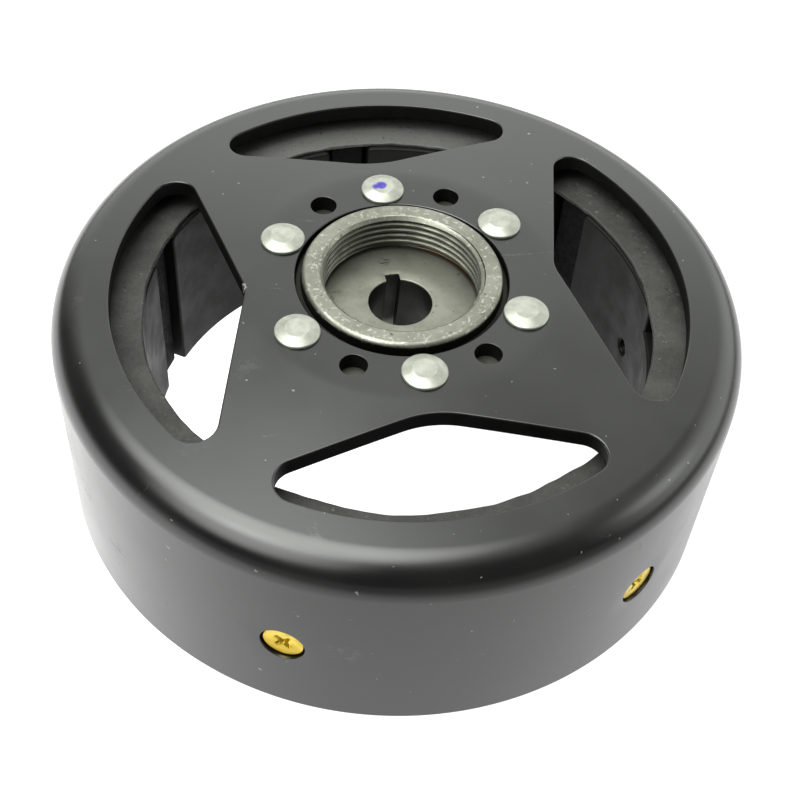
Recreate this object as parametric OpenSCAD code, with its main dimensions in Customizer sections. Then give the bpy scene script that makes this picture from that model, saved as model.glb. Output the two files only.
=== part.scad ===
// Outer-rotor magneto flywheel for a small engine: a deep-drawn cup riveted to a
// turned hub, lined with six ring magnets and six screwed pole shoes.
// Millimetres. The crank axis is Z, z = 0 is the plane of the open rim and +Z
// points out through the puller thread. One hub rivet lies on the +Y axis.

/* [Cup] */
// Outside diameter of the cup
cup_d = 140; // [130:1:160]
// Height from the open rim to the flat hub seat
cup_h = 51.4; // [50:0.1:56]
// Thickness of the drawn sheet
sheet = 3.6; // [3:0.1:4]
// Outside radius of the drawn corner
corner_r = 7.5; // [6:0.1:9]
// Radius of the flat hub seat, inside the shallow cone
seat_r = 30.6; // [30:0.1:31.2]
// Drop of the shallow cone from the seat to the windows' outer edge
cone_drop = 2.5; // [1:0.1:3]
// Diameter of the hole around the hub's shoulder
hub_hole_d = 42.8; // [42:0.1:42.9]
// Chamfer on both edges of the rim
rim_chamfer = 0.5; // [0.2:0.1:1]

/* [Windows] */
// Radius of the arc that bounds each window outside
window_r = 58; // [56:0.1:59]
// Fillet radius of the windows' outer corners
window_corner_r = 4.5; // [3:0.1:6]
// Radius at which the straight edges of the two large windows would meet
large_vertex_r = 31.3; // [31:0.1:34]
// Angle between those edges and the window's centre line
large_edge_angle = 76.3; // [70:0.1:80]
// Fillet radius where those edges meet
large_vertex_fillet = 9; // [2:0.5:15]
// Radius at which the straight edges of the two small windows would meet
small_vertex_r = 34.8; // [34:0.1:38]
// Angle between those edges and the window's centre line
small_edge_angle = 74.5; // [70:0.1:80]
// Fillet radius where those edges meet
small_vertex_fillet = 21; // [4:0.5:25]

/* [Hub] */
// Outside diameter of the collar that stands proud of the cup
collar_d = 40.3; // [39:0.1:41]
// Height of the collar above the hub seat
collar_h = 1.4; // [1:0.1:2]
// Height of the shoulder that centres the cup on the hub
shoulder_h = 1.9; // [1:0.1:2.4]
// Diameter of the riveted flange
flange_d = 59; // [58:0.5:60]
// Thickness of the riveted flange
flange_t = 4; // [3:0.1:5]
// Diameter of the boss below the flange
boss_d = 29; // [27:0.5:32]
// Length of the crankshaft taper
taper_len = 20; // [16:0.5:22]
// Bore diameter at the small end of the taper
bore_small_d = 13; // [12:0.1:14]
// Taper ratio: length per unit of diameter
taper_ratio = 5; // [5:1:10]
// Width of the keyway
key_w = 3; // [2:0.1:3]
// Depth of the keyway, measured from the bore wall
key_depth = 1.7; // [1:0.1:2]
// Nominal diameter of the puller thread
thread_d = 33; // [32:1:33]
// Pitch of the puller thread
thread_pitch = 1.5; // [1:0.25:1.5]
// Depth of the recess from the collar's top face to its floor
recess_depth = 8.7; // [8.2:0.1:9]
// Height of the thread relief groove above the floor
relief_h = 1; // [0.8:0.1:2]
// Radial depth of the 45 degree lead-in above the thread
lead_in = 0.8; // [0.5:0.1:1.2]

/* [Rivets and face holes] */
// Pitch circle diameter of the rivets and of the four face holes
face_pcd = 52; // [51:0.5:52]
// Rivet shank diameter
rivet_d = 5; // [4:0.1:5]
// Rivet head diameter
rivet_head_d = 9; // [8:0.1:9]
// Rivet head height
rivet_head_h = 1.4; // [1:0.1:2]
// Diameter of the flat on top of the rivet head
rivet_flat_d = 4.8; // [4:0.1:7]
// Diameter of the four face holes
face_hole_d = 5.4; // [4:0.1:6]

/* [Magnets and poles] */
// Number of poles
poles = 6; // [6:1:6]
// Angle of the first pole's centre from the +X axis
pole_turn = 3.6; // [0:0.1:6]
// Radius of the pole faces
pole_r = 52; // [51:0.1:52.4]
// Radial thickness of a pole shoe
pole_t = 5; // [4.5:0.1:5.5]
// Angle of the gap between neighbouring pole shoes
pole_gap = 9.7; // [8:0.1:11]
// Height of the poles' lower edge above the rim
pole_bottom = 2.6; // [2:0.1:4]
// Height of the poles' upper edge above the rim
pole_top = 41; // [39:0.1:41]
// Angle of the corner step in pole shoe 1
step_angle = 15.2; // [10:0.1:18]
// Depth of the corner step in pole shoe 1
step_depth = 6; // [4:0.1:8]
// Depth of the cage fingers behind the pole faces
finger_recess = 2; // [1.5:0.1:4.4]
// Inside radius of the cage's flat ring
cage_ring_r = 52.8; // [52:0.1:54]
// Thickness of the cage's flat ring
cage_ring_t = 1; // [0.8:0.1:1]

/* [Pole screws] */
// Nominal diameter of the pole screws
screw_d = 4; // [4:0.5:5]
// Length of a pole screw, head included
screw_len = 16; // [15:0.5:16.5]
// Head diameter of the pole screws
screw_head_d = 8; // [7.6:0.1:9]
// Diameter of the countersinks' mouths
countersink_d = 8.8; // [8.6:0.1:10]
// Height of the screw axes above the rim
screw_z = 20.9; // [19:0.1:24]
// Span of the cross recess in the screw head
cross_span = 4.4; // [4:0.1:5]
// Width of each wing of the cross recess
cross_w = 1; // [0.8:0.1:1.4]
// Depth of the cross recess
cross_depth = 1.8; // [1:0.1:2]

/* [Hidden] */
$fn = 96;

over = 1;                        // how far a cutter passes a face
seam_turn = 45;                  // keeps the turned surfaces' seam out of the windows
corner_steps = 8;                // flats in a window's outer fillet
corner_end = 10;                 // degrees before the arc at which they stop
vertex_steps = 3;                // flats in half of a window's inner fillet
cup_r = cup_d / 2;
wall_r = cup_r - sheet;          // inside radius of the cup
cone_slope = cone_drop / (window_r - seat_r);
cone_angle = atan(cone_slope);
corner_centre = [cup_r - corner_r,
                 cup_h - cone_slope * (cup_r - corner_r - seat_r)
                 - corner_r / cos(cone_angle)];
cone_normal = [sin(cone_angle), cos(cone_angle)];

seat_under = cup_h - sheet;      // where the hub flange meets the cup
collar_top = cup_h + collar_h;
floor_z = collar_top - recess_depth;
boss_bottom = floor_z - taper_len;
taper_half = atan(0.5 / taper_ratio);
bore_small_r = bore_small_d / 2;
bore_big_r = bore_small_r + taper_len / taper_ratio / 2;
thread_minor_r = thread_d / 2 - 0.5413 * thread_pitch;
relief_r = thread_d / 2 + 0.3;
edge_break = 0.4;                // small chamfers on turned edges
flange_chamfer = 0.6;
bore_break = 0.15;
collar_chamfer = 0.7;
root_wall = 3.2;                 // metal left outside the relief groove

rivet_turn = 30;                 // rivets every 60 degrees, one on +Y
face_hole_angles = [60, 120, 240, 300];
magnet_r = pole_r + pole_t;      // where magnets and pole shoes meet
pole_span = 360 / poles - pole_gap;
cage_r = wall_r - 0.2;           // clears the inside of the drawn corner
finger_clear = 0.15;             // degrees between a finger and a magnet
finger_top = pole_top + cage_ring_t / 2;

head_sink = 0.7;                 // screw head below the cup's outer surface
head_r = cup_r - head_sink;      // radius of the screw heads' outer faces
head_edge = 0.3;                 // straight edge of the countersunk head
head_cone = (screw_head_d - screw_d) / 2;
screw_hole_d = screw_d + 0.5;
pole_tap_d = screw_d;            // the thread engages here at its full diameter

// Sheet profile from the axis out: flat seat, shallow cone, drawn corner, wall.
// inset = 0 gives the outside, inset = sheet the inside.
module cup_profile(inset, bottom) {
    tangent = corner_centre + (corner_r - inset) * cone_normal;
    bend = [seat_r - inset * tan(cone_angle / 2), cup_h - inset];
    polygon([[0, bottom], [cup_r - inset, bottom],
             [cup_r - inset, corner_centre.y], corner_centre,
             tangent, bend, [0, cup_h - inset]]);
    translate(corner_centre) circle(corner_r - inset);
}

// Cuts a chamfer on the outside and the inside edge of the rim.
module rim_chamfers() {
    rotate_extrude()
        polygon([[cup_r - rim_chamfer, 0], [cup_r + over, -over],
                 [cup_r + over, rim_chamfer + over], [cup_r, rim_chamfer]]);
    rotate_extrude()
        polygon([[wall_r + rim_chamfer, 0], [wall_r - over, -over],
                 [wall_r - over, rim_chamfer + over], [wall_r, rim_chamfer]]);
}

function mirror_y(points) = [for (p = points) [p.x, -p.y]];
function reversed(points) = [for (i = [len(points) - 1:-1:0]) points[i]];
function arc_points(centre, radius, from, to, steps) =
    [for (i = [0:steps]) let (a = from + (to - from) * i / steps)
        centre + radius * [cos(a), sin(a)]];

// One window: an arc outside, two straight edges inside that would meet at
// [vertex_r, 0], and a fillet in each of the three corners.
module window(vertex_r, edge_angle, vertex_fillet) {
    vertex = [vertex_r, 0];
    along = [cos(edge_angle), sin(edge_angle)];
    inward = [sin(edge_angle), -cos(edge_angle)];
    edge_normal = edge_angle + 90;

    // the outer corner's fillet touches the straight edge and the arc
    start = vertex + window_corner_r * inward;
    start_along = start * along;
    run = sqrt(pow(start_along, 2) - start * start
               + pow(window_r - window_corner_r, 2)) - start_along;
    corner = start + run * along;
    corner_angle = atan2(corner.y, corner.x);
    corner_arc = arc_points(corner, window_corner_r, edge_normal,
                            corner_angle + corner_end, corner_steps);

    // the inner fillet touches both straight edges
    middle = [vertex_r + vertex_fillet / sin(edge_angle), 0];
    vertex_arc = arc_points(middle, vertex_fillet, 180, edge_normal, vertex_steps);

    half = concat(vertex_arc, corner_arc,
                  [2 * window_r * [cos(corner_angle), sin(corner_angle)]]);
    intersection() {
        circle(window_r, $fn = 180);
        polygon(concat(half, reversed(mirror_y(half))));
    }
}

module windows() {
    for (turn = [0, 180]) rotate(turn)
        window(large_vertex_r, large_edge_angle, large_vertex_fillet);
    for (turn = [90, 270]) rotate(turn)
        window(small_vertex_r, small_edge_angle, small_vertex_fillet);
}

// Puts a screw's own axis, with +Z out of its head, on the radius of pole k.
module on_pole_axis(k, radius) {
    rotate(pole_turn + k * 360 / poles) translate([radius, 0, screw_z])
        rotate([0, 90, 0]) children();
}

// Countersunk hole through the cup wall for one pole screw.
module countersink() {
    cone_h = (countersink_d - screw_hole_d) / 2;
    translate([0, 0, -sheet - over]) cylinder(d = screw_hole_d, h = 2 * sheet);
    translate([0, 0, -head_edge - cone_h])
        cylinder(d1 = screw_hole_d, d2 = countersink_d, h = cone_h);
    translate([0, 0, -head_edge]) cylinder(d = countersink_d, h = sheet);
}

module rotor_cup() {
    color([0.16, 0.17, 0.17]) difference() {
        rotate(seam_turn) rotate_extrude($fn = 180) difference() {
            cup_profile(0, 0);
            cup_profile(sheet, -over);
        }
        rim_chamfers();
        translate([0, 0, seat_under - 4 * over]) linear_extrude(sheet + 8 * over) {
            circle(d = hub_hole_d);
            windows();
            for (k = [0:5]) rotate(rivet_turn + 60 * k)
                translate([face_pcd / 2, 0]) circle(d = rivet_d, $fn = 48);
            for (turn = face_hole_angles) rotate(turn)
                translate([face_pcd / 2, 0]) circle(d = face_hole_d, $fn = 48);
        }
        for (k = [0:poles - 1]) on_pole_axis(k, head_r) countersink();
    }
}

// Turned outside of the hub: collar, centring shoulder, flange and boss.
module hub_blank() {
    collar_r = collar_d / 2;
    shoulder_r = hub_hole_d / 2;
    shoulder_top = seat_under + shoulder_h;
    flange_r = flange_d / 2;
    flange_under = seat_under - flange_t;
    boss_r = boss_d / 2;
    root_r = relief_r + root_wall;
    rotate_extrude($fn = 180)
        polygon([[0, collar_top], [collar_r - collar_chamfer, collar_top],
                 [collar_r, collar_top - collar_chamfer], [collar_r, shoulder_top],
                 [shoulder_r, shoulder_top], [shoulder_r, seat_under],
                 [flange_r - flange_chamfer, seat_under],
                 [flange_r, seat_under - flange_chamfer],
                 [flange_r, flange_under + edge_break],
                 [flange_r - edge_break, flange_under],
                 [root_r, flange_under],
                 [boss_r, flange_under - root_r + boss_r],
                 [boss_r, boss_bottom + flange_chamfer],
                 [boss_r - flange_chamfer, boss_bottom], [0, boss_bottom]]);
}

// Puller recess: lead-in, thread at its minor diameter, relief groove and floor.
module puller_recess() {
    translate([0, 0, floor_z]) cylinder(r = relief_r, h = relief_h);
    translate([0, 0, floor_z]) cylinder(r = thread_minor_r, h = recess_depth + over);
    translate([0, 0, collar_top - lead_in])
        cylinder(r1 = thread_minor_r, r2 = thread_minor_r + lead_in, h = lead_in);
}

module crank_bore() {
    translate([0, 0, boss_bottom])
        cylinder(r1 = bore_big_r, r2 = bore_small_r, h = taper_len);
    translate([0, 0, boss_bottom - over])
        cylinder(r1 = bore_big_r + edge_break + over, r2 = bore_big_r - 0.1,
                 h = edge_break + over + 0.1);
    translate([0, 0, floor_z - bore_break])
        cylinder(r1 = bore_small_r, r2 = bore_small_r + bore_break + over,
                 h = bore_break + over);
}

// Keyway cut parallel to the taper, in line with a gap between two poles.
module keyway() {
    rotate(pole_turn + 90) translate([bore_small_r + key_depth, 0, floor_z])
        rotate([0, taper_half, 180])
            translate([0, -key_w / 2, -taper_len - 4 * over])
                cube([bore_small_r, key_w, taper_len + 8 * over]);
}

module hub() {
    color([0.62, 0.61, 0.57]) difference() {
        hub_blank();
        puller_recess();
        crank_bore();
        keyway();
        for (k = [0:5]) rotate(rivet_turn + 60 * k)
            translate([face_pcd / 2, 0, seat_under - flange_t - over])
                cylinder(d = rivet_d, h = flange_t + 2 * over, $fn = 48);
    }
}

// Solid rivet with a formed head on the cup and another under the flange.
module hub_rivet(k) {
    grip = sheet + flange_t;
    bevel_h = 0.8;
    color([0.78, 0.79, 0.75]) rotate(rivet_turn + 60 * k)
        translate([face_pcd / 2, 0, cup_h]) rotate_extrude($fn = 64)
            polygon([[0, rivet_head_h], [rivet_flat_d / 2, rivet_head_h],
                     [rivet_head_d / 2, rivet_head_h - bevel_h], [rivet_head_d / 2, 0],
                     [rivet_d / 2, 0], [rivet_d / 2, -grip],
                     [rivet_head_d / 2, -grip],
                     [rivet_head_d / 2, -grip - rivet_head_h + bevel_h],
                     [rivet_flat_d / 2, -grip - rivet_head_h],
                     [0, -grip - rivet_head_h]]);
}

// Part of a ring about the crank axis, centred on an angle.
module ring_sector(inner_r, outer_r, low, high, centre, span) {
    rotate(centre - span / 2) rotate_extrude(angle = span, $fn = 180)
        translate([inner_r, low]) square([outer_r - inner_r, high - low]);
}

// Cage that spaces the magnets: a flat ring with a finger in each gap.
module magnet_cage() {
    color([0.50, 0.50, 0.46]) {
        translate([0, 0, pole_top]) difference() {
            cylinder(r = cage_r, h = cage_ring_t, $fn = 180);
            translate([0, 0, -over])
                cylinder(r = cage_ring_r, h = cage_ring_t + 2 * over, $fn = 180);
        }
        for (k = [0:poles - 1])
            ring_sector(pole_r + finger_recess, cage_r - 0.2, pole_bottom, finger_top,
                        pole_turn + (k + 0.5) * 360 / poles,
                        pole_gap - 2 * finger_clear);
    }
}

module magnet(k) {
    color([0.24, 0.23, 0.22]) difference() {
        ring_sector(magnet_r, wall_r, pole_bottom, pole_top,
                    pole_turn + k * 360 / poles, pole_span);
        on_pole_axis(k, magnet_r - over)
            cylinder(d = screw_hole_d, h = wall_r - magnet_r + 3 * over);
    }
}

// Pole shoe with its tapped hole. Pole shoe 1 has one stepped upper corner.
module pole_shoe(k) {
    turn = pole_turn + k * 360 / poles;
    color([0.20, 0.20, 0.19]) difference() {
        ring_sector(pole_r, magnet_r, pole_bottom, pole_top, turn, pole_span);
        on_pole_axis(k, pole_r - 2 * over)
            cylinder(d = pole_tap_d, h = pole_t + 4 * over);
        if (k == 0)
            ring_sector(pole_r - over, magnet_r + over, pole_top - step_depth,
                        pole_top + over, turn - pole_span / 2 + step_angle / 2 - 1,
                        step_angle + 2);
    }
}

// Countersunk cross-recess screw, head outwards.
module pole_screw(k) {
    color([0.85, 0.68, 0.22]) on_pole_axis(k, head_r) difference() {
        rotate_extrude($fn = 64)
            polygon([[0, 0], [screw_head_d / 2, 0], [screw_head_d / 2, -head_edge],
                     [screw_d / 2, -head_edge - head_cone],
                     [screw_d / 2, -screw_len + edge_break],
                     [screw_d / 2 - edge_break, -screw_len], [0, -screw_len]]);
        for (turn = [0, 90]) rotate(turn)
            translate([-cross_span / 2, -cross_w / 2, -cross_depth])
                cube([cross_span, cross_w, cross_depth + over]);
    }
}

rotor_cup();
hub();
for (k = [0:5]) hub_rivet(k);
magnet_cage();
for (k = [0:poles - 1]) {
    magnet(k);
    pole_shoe(k);
    pole_screw(k);
}
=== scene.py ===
"""Flywheel of a small engine: a black painted cup riveted to a turned steel hub.

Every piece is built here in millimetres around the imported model, which gives the
sizes and places, and is scaled to metres when its mesh is made.
"""
import math

import bpy
import numpy as np
from mathutils import Matrix, Vector, noise
from mathutils.geometry import delaunay_2d_cdt


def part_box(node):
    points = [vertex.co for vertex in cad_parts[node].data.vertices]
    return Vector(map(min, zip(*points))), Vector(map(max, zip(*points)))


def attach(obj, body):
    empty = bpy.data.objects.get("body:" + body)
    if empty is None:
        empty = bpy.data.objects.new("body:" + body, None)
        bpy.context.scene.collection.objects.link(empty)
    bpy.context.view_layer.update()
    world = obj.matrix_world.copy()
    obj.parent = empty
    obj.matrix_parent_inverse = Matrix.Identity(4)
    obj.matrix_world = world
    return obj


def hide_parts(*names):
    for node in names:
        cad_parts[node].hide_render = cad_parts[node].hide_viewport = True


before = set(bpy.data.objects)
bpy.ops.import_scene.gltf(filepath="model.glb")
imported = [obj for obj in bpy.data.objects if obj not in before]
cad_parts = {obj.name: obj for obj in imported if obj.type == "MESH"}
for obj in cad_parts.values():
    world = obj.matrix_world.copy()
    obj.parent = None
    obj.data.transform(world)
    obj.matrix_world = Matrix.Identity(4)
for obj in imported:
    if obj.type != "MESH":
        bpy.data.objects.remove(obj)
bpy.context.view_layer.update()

MM = 0.001
TAU = 2 * math.pi


def mm_box(node):
    low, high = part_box(node)
    return low / MM, high / MM


def polar(radius, angle, z=0.0):
    return Vector((radius * math.cos(angle), radius * math.sin(angle), z))


# ---------------------------------------------------------------- sizes, mm
_, cup_high = mm_box("rotor_cup")
hub_low, hub_high = mm_box("hub")
_, cage_high = mm_box("magnet_cage")
pole_low, pole_high = mm_box("pole_shoe_2")
_, rivet_high = mm_box("hub_rivet_2")

CUP_R = cup_high.x
SEAT_Z = cup_high.z
SHEET = 3.6
WALL_R = CUP_R - SHEET
SEAT_R = 30.6
CORNER_R = 7.5
WINDOW_R = 58.0
CONE_SLOPE = 2.5 / (WINDOW_R - SEAT_R)
CONE = math.atan(CONE_SLOPE)
CORNER = Vector((CUP_R - CORNER_R,
                 SEAT_Z - CONE_SLOPE * (CUP_R - CORNER_R - SEAT_R) - CORNER_R / math.cos(CONE)))
HUB_HOLE_R = 21.4
RIM_CHAMFER = 0.5
RIM_BAND = 1.3
# Each pair of windows: turns in degrees, radius of the inner vertex, angle of the
# straight edges in degrees, and the fillet between them.
WINDOWS = (((0, 180), 31.3, 76.3, 9.0), ((90, 270), 34.8, 74.5, 21.0))
WINDOW_CORNER = 4.5

SEAT_UNDER = SEAT_Z - SHEET
COLLAR_TOP = hub_high.z
COLLAR_R = 20.15
FLANGE_R = hub_high.x
FLANGE_UNDER = SEAT_UNDER - 4.0
BOSS_R = 14.5
BOSS_BOTTOM = hub_low.z
FLOOR_Z = COLLAR_TOP - 8.7
ROOT_R = 20.0
THREAD_PITCH = 1.5
THREAD_START = 0.45              # turn of the thread, in pitches
THREAD_MINOR = 15.688
THREAD_DEPTH = 0.5413 * THREAD_PITCH
RELIEF_R = 16.8
RELIEF_TOP = FLOOR_Z + 1.0
LEAD_IN = 0.8
BORE_TOP_R = 6.5
BORE_BOTTOM_R = 8.5
KEY_W = 3.0
KEY_DEPTH = 1.7

FACE_R = 26.0
RIVET_TURN = math.radians(30)
RIVET_R = 2.5
RIVET_HEAD_R = 4.5
RIVET_HEAD_H = rivet_high.z - SEAT_Z
RIVET_FLAT_R = 2.4
RIVET_BEVEL = 0.85
FACE_HOLE_R = 2.7
FACE_HOLES = [math.radians(a) for a in (60, 120, 240, 300)]

POLES = 6
POLE_TURN = math.radians(3.6)
POLE_R = 52.0
MAGNET_R = 57.0
POLE_SPAN = math.radians(360 / POLES - 9.7)
GAP_SPAN = math.radians(8.2)
POLE_BOTTOM = pole_low.z
POLE_TOP = pole_high.z
STEP_SPAN = math.radians(15.2)
STEP_DEPTH = 6.0
FINGER_R = 54.0
RING_R = 52.2
RING_SHIFT = 0.85                # how far the ring's inner edge sits off the axis
RING_SHIFT_TURN = 1.4            # and which way, in radians
CAGE_R = cage_high.x
CAGE_TOP = cage_high.z

SCREW_Z = 20.9
SCREW_HEAD_X = CUP_R - 0.7
SCREW_HEAD_R = 4.0
SCREW_R = 2.0
SCREW_LEN = 16.0
SINK_R = 4.4
SCREW_HOLE_R = 2.25
HEAD_EDGE = 0.3
SCREW_PITCH = 0.8
CROSS_SPAN = 4.4

LIP_ROWS = 4                     # faces across the rounded lip of a cut edge
RING = 360                       # vertices round the cup
WALL_ROWS = 9                    # rows of faces up the cup's wall
WALL_COLUMNS = 110
SEAM = math.radians(33)          # where the cup's wall is unrolled, clear of its holes


# ---------------------------------------------------------------- mesh tools
def inside(points, outline):
    x, y = points[:, :1], points[:, 1:]
    x0, y0 = outline[:, 0], outline[:, 1]
    x1, y1 = np.roll(x0, -1), np.roll(y0, -1)
    spans = (y0 > y) != (y1 > y)
    rise = np.where(y1 == y0, 1.0, y1 - y0)
    left = x < (x1 - x0) * (y - y0) / rise + x0
    return (spans & left).sum(1) % 2 == 1


def flat_of(loop):
    return np.array([tuple(uv) for uv, _ in loop])


def clear_points(points, loops, gap):
    """The points inside the first loop, outside the others and clear of them all."""
    points = np.array(points)
    outlines = [flat_of(loop) for loop in loops]
    keep = inside(points, outlines[0])
    for hole in outlines[1:]:
        keep &= ~inside(points, hole)
    edge = np.concatenate(outlines)
    for i in np.nonzero(keep)[0]:
        if ((edge - points[i]) ** 2).sum(1).min() < gap * gap:
            keep[i] = False
    return points[keep]


class Skin:
    """A mesh in the making: points in mm, each with its shading normal."""

    def __init__(self):
        self.points, self.normals, self.faces = [], [], []
        self.walls = []

    def put(self, point, normal):
        self.points.append(Vector(point))
        self.normals.append(Vector(normal).normalized())
        return len(self.points) - 1

    def strip(self, a, b, closed=True):
        for i in range(len(a) if closed else len(a) - 1):
            j = (i + 1) % len(a)
            corners = list(dict.fromkeys((a[i], a[j], b[j], b[i])))
            if len(corners) > 2:
                self.faces.append(corners)

    def rows(self, rows, closed=True):
        for a, b in zip(rows, rows[1:]):
            self.strip(a, b, closed)

    def fill(self, loops, free=()):
        """Triangles between loops of (flat point, vertex), through the free ones."""
        flat, owner, edges = [], [], []
        for loop in loops:
            base, size = len(flat), len(loop)
            flat += [Vector(uv) for uv, _ in loop]
            owner += [vertex for _, vertex in loop]
            edges += [(base + i, base + (i + 1) % size) for i in range(size)]
        flat += [Vector(uv) for uv, _ in free]
        owner += [vertex for _, vertex in free]
        _, _, triangles, origin, _, _ = delaunay_2d_cdt(flat, edges, [], 0, 1e-6)
        ids = np.array([[origin[i][0] for i in t] for t in triangles])
        middle = np.array([tuple(p) for p in flat])[ids].mean(1)
        keep = inside(middle, flat_of(loops[0]))
        for hole in loops[1:]:
            keep &= ~inside(middle, flat_of(hole))
        self.faces += [[owner[i] for i in t] for t, k in zip(ids, keep) if k]

    def build(self, name, material, slot, *nodes, turn=Matrix.Identity(4), shaded_wall_material=None):
        used = sorted({i for face in self.faces for i in face})
        new = {old: i for i, old in enumerate(used)}
        faces = []
        for face in self.faces:
            p = [self.points[i] for i in face]
            across = (p[2] - p[0]).cross(p[-1] - p[1])
            shade = sum((self.normals[i] for i in face), Vector())
            ids = [new[i] for i in face]
            faces.append(ids if across.dot(shade) >= 0 else ids[::-1])
        mesh = bpy.data.meshes.new(name)
        mesh.from_pydata([turn @ self.points[i] * MM for i in used], [], faces)
        mesh.polygons.foreach_set("use_smooth", [True] * len(faces))
        spin = turn.to_3x3()
        mesh.normals_split_custom_set_from_vertices([spin @ self.normals[i] for i in used])
        mesh.materials.append(material)
        # The cut walls take the second material, a copy of the paint darkened as painted shade.
        if shaded_wall_material:
            mesh.materials.append(shaded_wall_material)
            for i in self.walls:
                mesh.polygons[i].material_index = 1
        piece = bpy.data.objects.new(name, mesh)
        bpy.context.scene.collection.objects.link(piece)
        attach(piece, "root")
        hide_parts(*nodes)
        return piece


def rounded(corners, closed=False, steps=None):
    """Walks corners of (x, y, fillet) with the solid on the left.

    Gives (x, y, nx, ny) with the normal pointing out of the solid."""
    out = []
    size = len(corners)
    for i, (x, y, fillet) in enumerate(corners):
        here = Vector((x, y))
        before = Vector(corners[i - 1][:2]) if closed or i else None
        after = Vector(corners[(i + 1) % size][:2]) if closed or i < size - 1 else None
        t0 = (here - before).normalized() if before else None
        t1 = (after - here).normalized() if after else None
        t0, t1 = t0 or t1, t1 or t0
        n0 = Vector((t0.y, -t0.x))
        bend = math.atan2(t0.x * t1.y - t0.y * t1.x, t0.dot(t1))
        if not fillet or abs(bend) < 0.02:
            n = (n0 + Vector((t1.y, -t1.x))).normalized()
            out.append((x, y, n.x, n.y))
            continue
        side = math.copysign(1, bend)
        centre = here - t0 * fillet * math.tan(abs(bend) / 2) - n0 * fillet * side
        parts = steps or max(2, round(abs(bend) / 0.35))
        for k in range(parts + 1):
            n = Matrix.Rotation(bend * k / parts, 2) @ n0
            p = centre + n * fillet * side
            out.append((p.x, p.y, n.x, n.y))
    return out


def refined(outline, spacing):
    """Adds points on the straight stretches of a closed outline."""
    out = []
    for a, b in zip(outline, outline[1:] + outline[:1]):
        out.append(a)
        parts = int(math.dist(a[:2], b[:2]) / spacing)
        for k in range(1, parts):
            s = k / parts
            out.append(tuple(p + (q - p) * s for p, q in zip(a, b)))
    return out


def circle_hole(centre, radius, count):
    """Outline of a round hole, walked with the metal on the left."""
    out = []
    for k in range(count):
        a = -TAU * k / count
        c, s = math.cos(a), math.sin(a)
        out.append((centre.x + radius * c, centre.y + radius * s, -c, -s))
    return out


def edge_rows(thickness, top, bottom):
    """Rows of (inset, drop, out, up) down a cut edge with rounded lips."""
    rows = []
    for k in range(LIP_ROWS + 1):
        a = TAU / 4 * k / LIP_ROWS
        rows.append((top * (1 - math.sin(a)), top * (1 - math.cos(a)), math.sin(a), math.cos(a)))
    for degrees in (90, 45, 0):
        a = math.radians(degrees)
        rows.append((bottom * (1 - math.sin(a)), thickness - bottom * (1 - math.cos(a)),
                     math.sin(a), -math.cos(a)))
    return rows


def cut(skin, outline, rows, place):
    """Builds the wall of an outline and gives its upper and lower loops."""
    rings = []
    for inset, drop, out, up in rows:
        ring = []
        for x, y, nx, ny in outline:
            u, v = x - nx * inset, y - ny * inset
            ring.append(((u, v), skin.put(*place(u, v, drop, (nx * out, ny * out, up)))))
        rings.append(ring)
    first = len(skin.faces) + LIP_ROWS * len(outline)
    skin.rows([[vertex for _, vertex in ring] for ring in rings])
    skin.walls += range(first, len(skin.faces))
    return rings[0], rings[-1]


def revolve(skin, profile, count=RING, start=SEAM):
    rows = []
    for x, y, nx, ny in profile:
        if x < 1e-6:
            rows.append([skin.put((0, 0, y), (0, 0, ny))] * count)
            continue
        angles = [start + TAU * k / count for k in range(count)]
        rows.append([skin.put(polar(x, a, y), polar(nx, a, ny)) for a in angles])
    skin.rows(rows)
    return rows


def plan_loop(skin, row):
    """A ring of vertices as a loop seen along the crank axis."""
    return [((skin.points[v].x, skin.points[v].y), v) for v in row]


def helix(skin, radius_at, low, high, steps, count, side):
    """A threaded surface; side is 1 outside a shank and -1 inside a hole."""
    rows = []
    for i in range(steps + 1):
        z = low + (high - low) * i / steps
        row = []
        for k in range(count):
            a = TAU * k / count
            r = radius_at(a, z)
            along = (radius_at(a, z + 0.03) - radius_at(a, z - 0.03)) / 0.06
            round_it = (radius_at(a + 0.004, z) - radius_at(a - 0.004, z)) / 0.008 / r
            normal = polar(1, a) - polar(round_it, a + TAU / 4) - Vector((0, 0, along))
            row.append(skin.put(polar(r, a, z), normal * side))
        rows.append(row)
    skin.rows(rows)
    return rows


def thread_wave(turns):
    """0 on a crest's flat and 1 on a root's flat of a 60 degree thread."""
    from_root = abs(turns % 1.0 - 0.5)
    return min(max((0.375 - from_root) / 0.3125, 0.0), 1.0)


def radial_hole(skin, angle, rows, count, reference):
    """Rings of a hole along a radius. A row is (radius, surface, depth, out, up):
    it lies depth below a cylinder of that surface radius, or at depth from the axis."""
    spin = Matrix.Rotation(angle, 3, "Z")
    rings = []
    for radius, surface, depth, out, up in rows:
        ring = []
        for k in range(count):
            a = TAU * k / count
            y, z = radius * math.cos(a), radius * math.sin(a)
            x = math.sqrt(surface ** 2 - y ** 2) - depth if surface else depth
            normal = Vector((up, -math.cos(a) * out, -math.sin(a) * out))
            vertex = skin.put(spin @ Vector((x, y, z + SCREW_Z)), spin @ normal)
            flat = (reference * (angle + math.atan2(y, x)), z + SCREW_Z)
            ring.append((flat, vertex))
        rings.append(ring)
    skin.rows([[vertex for _, vertex in ring] for ring in rings])
    return rings[0], rings[-1]


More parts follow.
